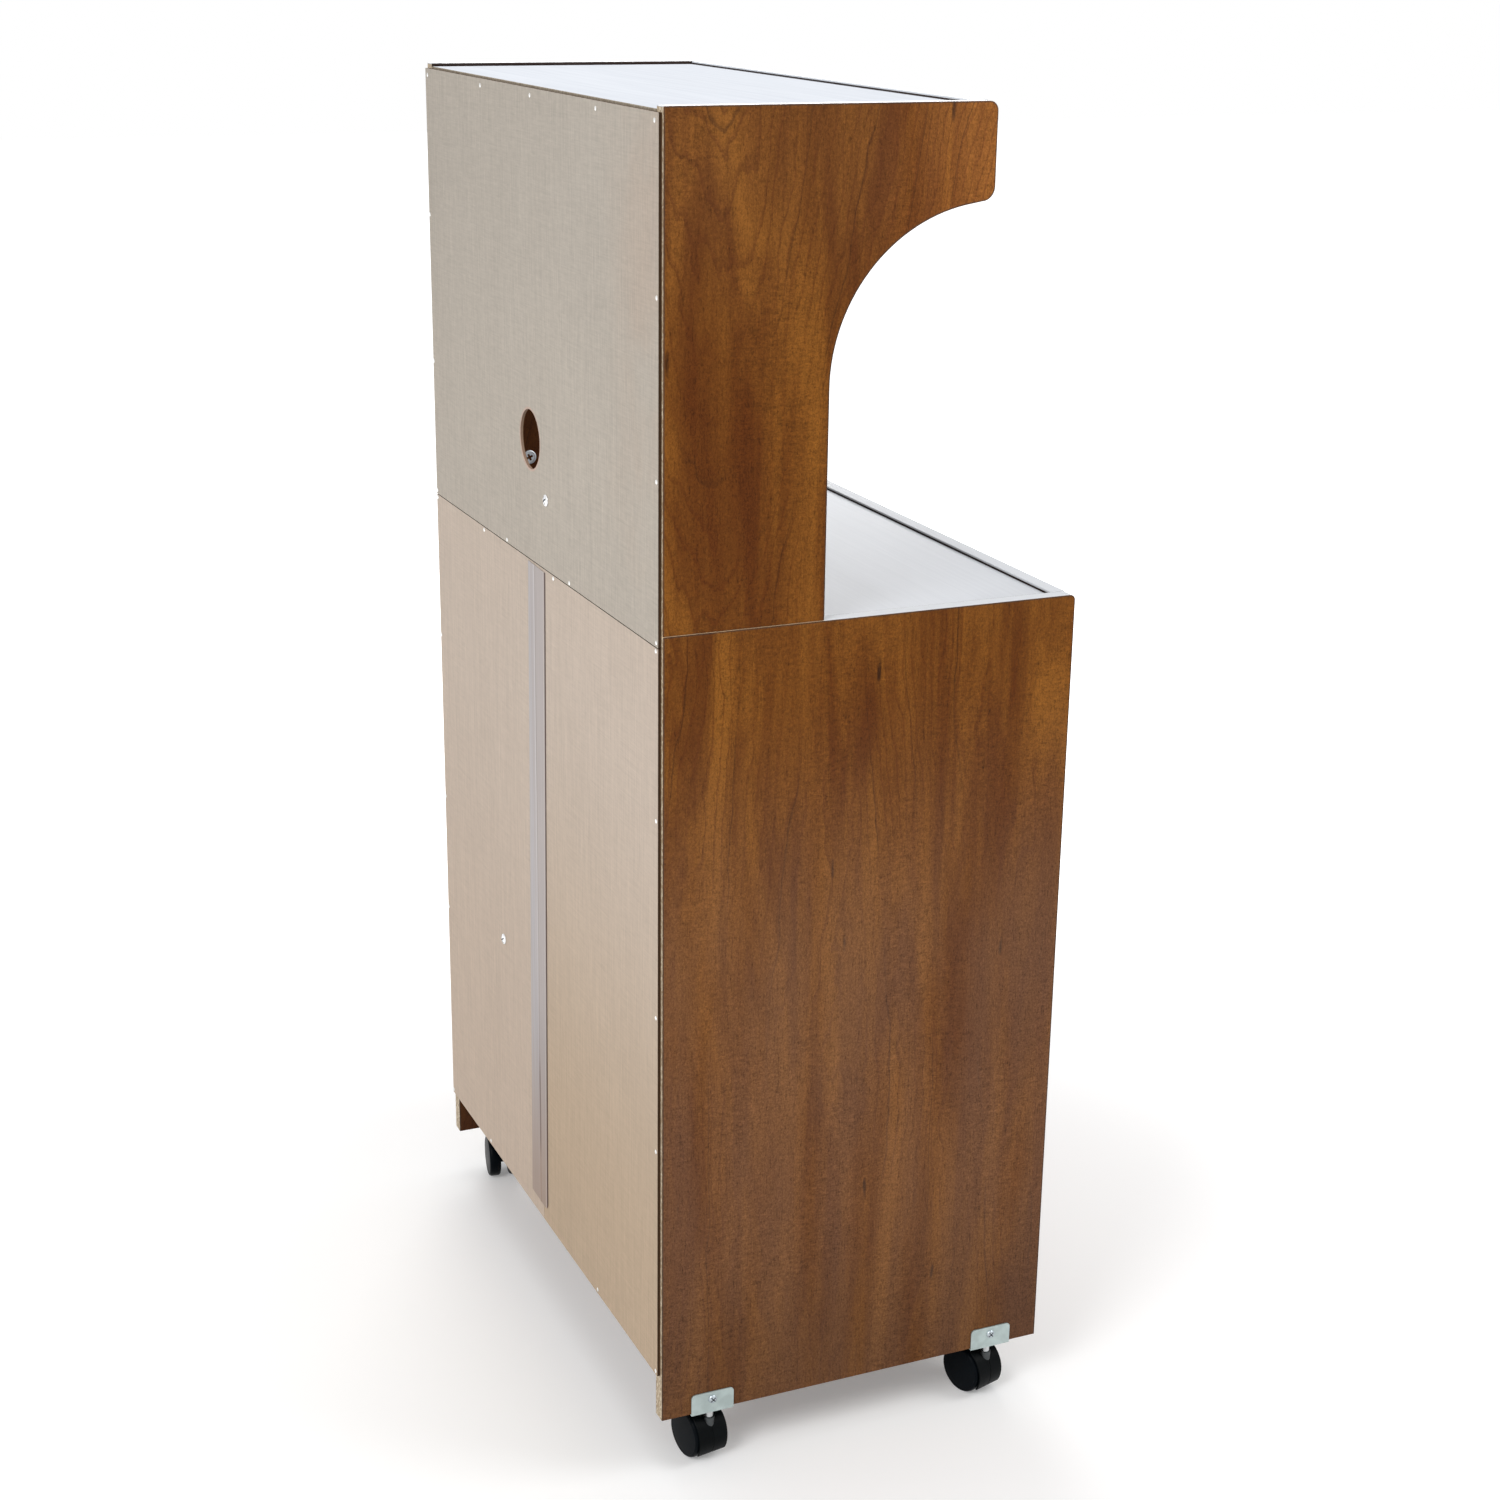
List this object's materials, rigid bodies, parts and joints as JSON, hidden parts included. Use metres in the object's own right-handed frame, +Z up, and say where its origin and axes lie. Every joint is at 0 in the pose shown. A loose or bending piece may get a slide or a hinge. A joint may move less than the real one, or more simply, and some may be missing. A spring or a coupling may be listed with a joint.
{
  "type": "microwave cart",
  "caption": "Microwave cart on casters: a cabinet with a drawer and doors, a counter, and an open hutch with curved sides and a top board above it.",
  "frame": {"origin": "on the floor, under the middle of the cart's bounding box", "axes": "+Z up from the floor, -Y towards the doors and drawer, +Y towards the hardboard back, +X towards the right side as seen from the front"},
  "size_m": [0.6618, 0.428, 1.2543],
  "materials": {
    "cherry_laminate": "satin wood-print laminate on particleboard",
    "pale_laminate": "pale satin laminate on particleboard",
    "hardboard": "matt bare hardboard",
    "joint_tape": "thin translucent plastic strip",
    "drawer_lining": "matt foil",
    "runner_plastic": "matt",
    "satin_nickel": "satin",
    "bright_steel": "bright",
    "zinc_plate": "bright zinc",
    "caster_hood": "dark moulded nylon",
    "caster_wheel": "black moulded nylon"
  },
  "bodies": {
    "cabinet": {"lower_side_left": "cherry_laminate", "lower_side_right": "cherry_laminate", "counter_front_rail": "cherry_laminate", "drawer_divider_rail": "cherry_laminate", "bottom_board": "cherry_laminate", "middle_shelf": "cherry_laminate", "plinth_rail": "cherry_laminate", "hutch_side_left": "cherry_laminate", "hutch_side_right": "cherry_laminate", "hutch_front_rail": "cherry_laminate", "hutch_back_rail": "cherry_laminate", "counter_board": "pale_laminate", "hutch_top_board": "pale_laminate", "hutch_back_panel": "hardboard", "lower_back_left": "hardboard", "lower_back_right": "hardboard", "back_joint_tape": "joint_tape", "drawer_runner_left": "runner_plastic", "drawer_runner_right": "runner_plastic", "hutch_back_screw": "bright_steel", "shelf_back_screw": "bright_steel", "caster_bracket_front_left": "zinc_plate", "caster_bracket_front_right": "zinc_plate", "caster_bracket_rear_left": "zinc_plate", "caster_bracket_rear_right": "zinc_plate"},
    "drawer": {"drawer_front": "cherry_laminate", "drawer_side_left": "drawer_lining", "drawer_side_right": "drawer_lining", "drawer_back": "drawer_lining", "drawer_bottom": "hardboard", "drawer_knob": "satin_nickel"},
    "door_left_leaf": {"door_left": "cherry_laminate", "door_left_knob": "satin_nickel", "door_left_top_pin": "bright_steel", "door_left_bottom_pin": "bright_steel"},
    "door_right_leaf": {"door_right": "cherry_laminate", "door_right_knob": "satin_nickel", "door_right_top_pin": "bright_steel", "door_right_bottom_pin": "bright_steel"},
    "caster_front_left_swivel": {"caster_front_left_hood": "caster_hood", "caster_front_left_stem": "bright_steel", "caster_front_left_axle": "bright_steel"},
    "caster_front_left_rolling_a": {"caster_front_left_wheel_a": "caster_wheel"},
    "caster_front_left_rolling_b": {"caster_front_left_wheel_b": "caster_wheel"},
    "caster_front_right_swivel": {"caster_front_right_hood": "caster_hood", "caster_front_right_stem": "bright_steel", "caster_front_right_axle": "bright_steel"},
    "caster_front_right_rolling_a": {"caster_front_right_wheel_a": "caster_wheel"},
    "caster_front_right_rolling_b": {"caster_front_right_wheel_b": "caster_wheel"},
    "caster_rear_left_swivel": {"caster_rear_left_hood": "caster_hood", "caster_rear_left_stem": "bright_steel", "caster_rear_left_axle": "bright_steel"},
    "caster_rear_left_rolling_a": {"caster_rear_left_wheel_a": "caster_wheel"},
    "caster_rear_left_rolling_b": {"caster_rear_left_wheel_b": "caster_wheel"},
    "caster_rear_right_swivel": {"caster_rear_right_hood": "caster_hood", "caster_rear_right_stem": "bright_steel", "caster_rear_right_axle": "bright_steel"},
    "caster_rear_right_rolling_a": {"caster_rear_right_wheel_a": "caster_wheel"},
    "caster_rear_right_rolling_b": {"caster_rear_right_wheel_b": "caster_wheel"}
  },
  "joints": [
    {"name": "drawer_slide", "type": "slide", "parent": "cabinet", "child": "drawer", "axis": [0, -1, 0], "range_m": [0, 0.25]},
    {"name": "door_left_hinge", "type": "hinge", "parent": "cabinet", "child": "door_left_leaf", "pos_m": [-0.293, -0.18225, 0.3755], "axis": [0, 0, -1], "range_deg": [0, 110]},
    {"name": "door_right_hinge", "type": "hinge", "parent": "cabinet", "child": "door_right_leaf", "pos_m": [0.293, -0.18225, 0.3755], "axis": [0, 0, 1], "range_deg": [0, 110]},
    {"name": "caster_front_left_turn", "type": "hinge", "parent": "cabinet", "child": "caster_front_left_swivel", "pos_m": [-0.3175, -0.14075, 0.05], "axis": [0, 0, 1], "continuous": true},
    {"name": "caster_front_left_spin_a", "type": "hinge", "parent": "caster_front_left_swivel", "child": "caster_front_left_rolling_a", "pos_m": [-0.3012, -0.13592, 0.024], "axis": [-0.284, 0.9588, 0], "continuous": true},
    {"name": "caster_front_left_spin_b", "type": "hinge", "parent": "caster_front_left_swivel", "child": "caster_front_left_rolling_b", "pos_m": [-0.3012, -0.13592, 0.024], "axis": [-0.284, 0.9588, 0], "continuous": true},
    {"name": "caster_front_right_turn", "type": "hinge", "parent": "cabinet", "child": "caster_front_right_swivel", "pos_m": [0.3175, -0.14075, 0.05], "axis": [0, 0, 1], "continuous": true},
    {"name": "caster_front_right_spin_a", "type": "hinge", "parent": "caster_front_right_swivel", "child": "caster_front_right_rolling_a", "pos_m": [0.3012, -0.13592, 0.024], "axis": [-0.284, -0.9588, 0], "continuous": true},
    {"name": "caster_front_right_spin_b", "type": "hinge", "parent": "caster_front_right_swivel", "child": "caster_front_right_rolling_b", "pos_m": [0.3012, -0.13592, 0.024], "axis": [-0.284, -0.9588, 0], "continuous": true},
    {"name": "caster_rear_left_turn", "type": "hinge", "parent": "cabinet", "child": "caster_rear_left_swivel", "pos_m": [-0.3175, 0.15725, 0.05], "axis": [0, 0, 1], "continuous": true},
    {"name": "caster_rear_left_spin_a", "type": "hinge", "parent": "caster_rear_left_swivel", "child": "caster_rear_left_rolling_a", "pos_m": [-0.30073, 0.16006, 0.024], "axis": [-0.165, 0.9863, 0], "continuous": true},
    {"name": "caster_rear_left_spin_b", "type": "hinge", "parent": "caster_rear_left_swivel", "child": "caster_rear_left_rolling_b", "pos_m": [-0.30073, 0.16006, 0.024], "axis": [-0.165, 0.9863, 0], "continuous": true},
    {"name": "caster_rear_right_turn", "type": "hinge", "parent": "cabinet", "child": "caster_rear_right_swivel", "pos_m": [0.3175, 0.15725, 0.05], "axis": [0, 0, 1], "continuous": true},
    {"name": "caster_rear_right_spin_a", "type": "hinge", "parent": "caster_rear_right_swivel", "child": "caster_rear_right_rolling_a", "pos_m": [0.30073, 0.16006, 0.024], "axis": [-0.165, -0.9863, 0], "continuous": true},
    {"name": "caster_rear_right_spin_b", "type": "hinge", "parent": "caster_rear_right_swivel", "child": "caster_rear_right_rolling_b", "pos_m": [0.30073, 0.16006, 0.024], "axis": [-0.165, -0.9863, 0], "continuous": true}
  ]
}
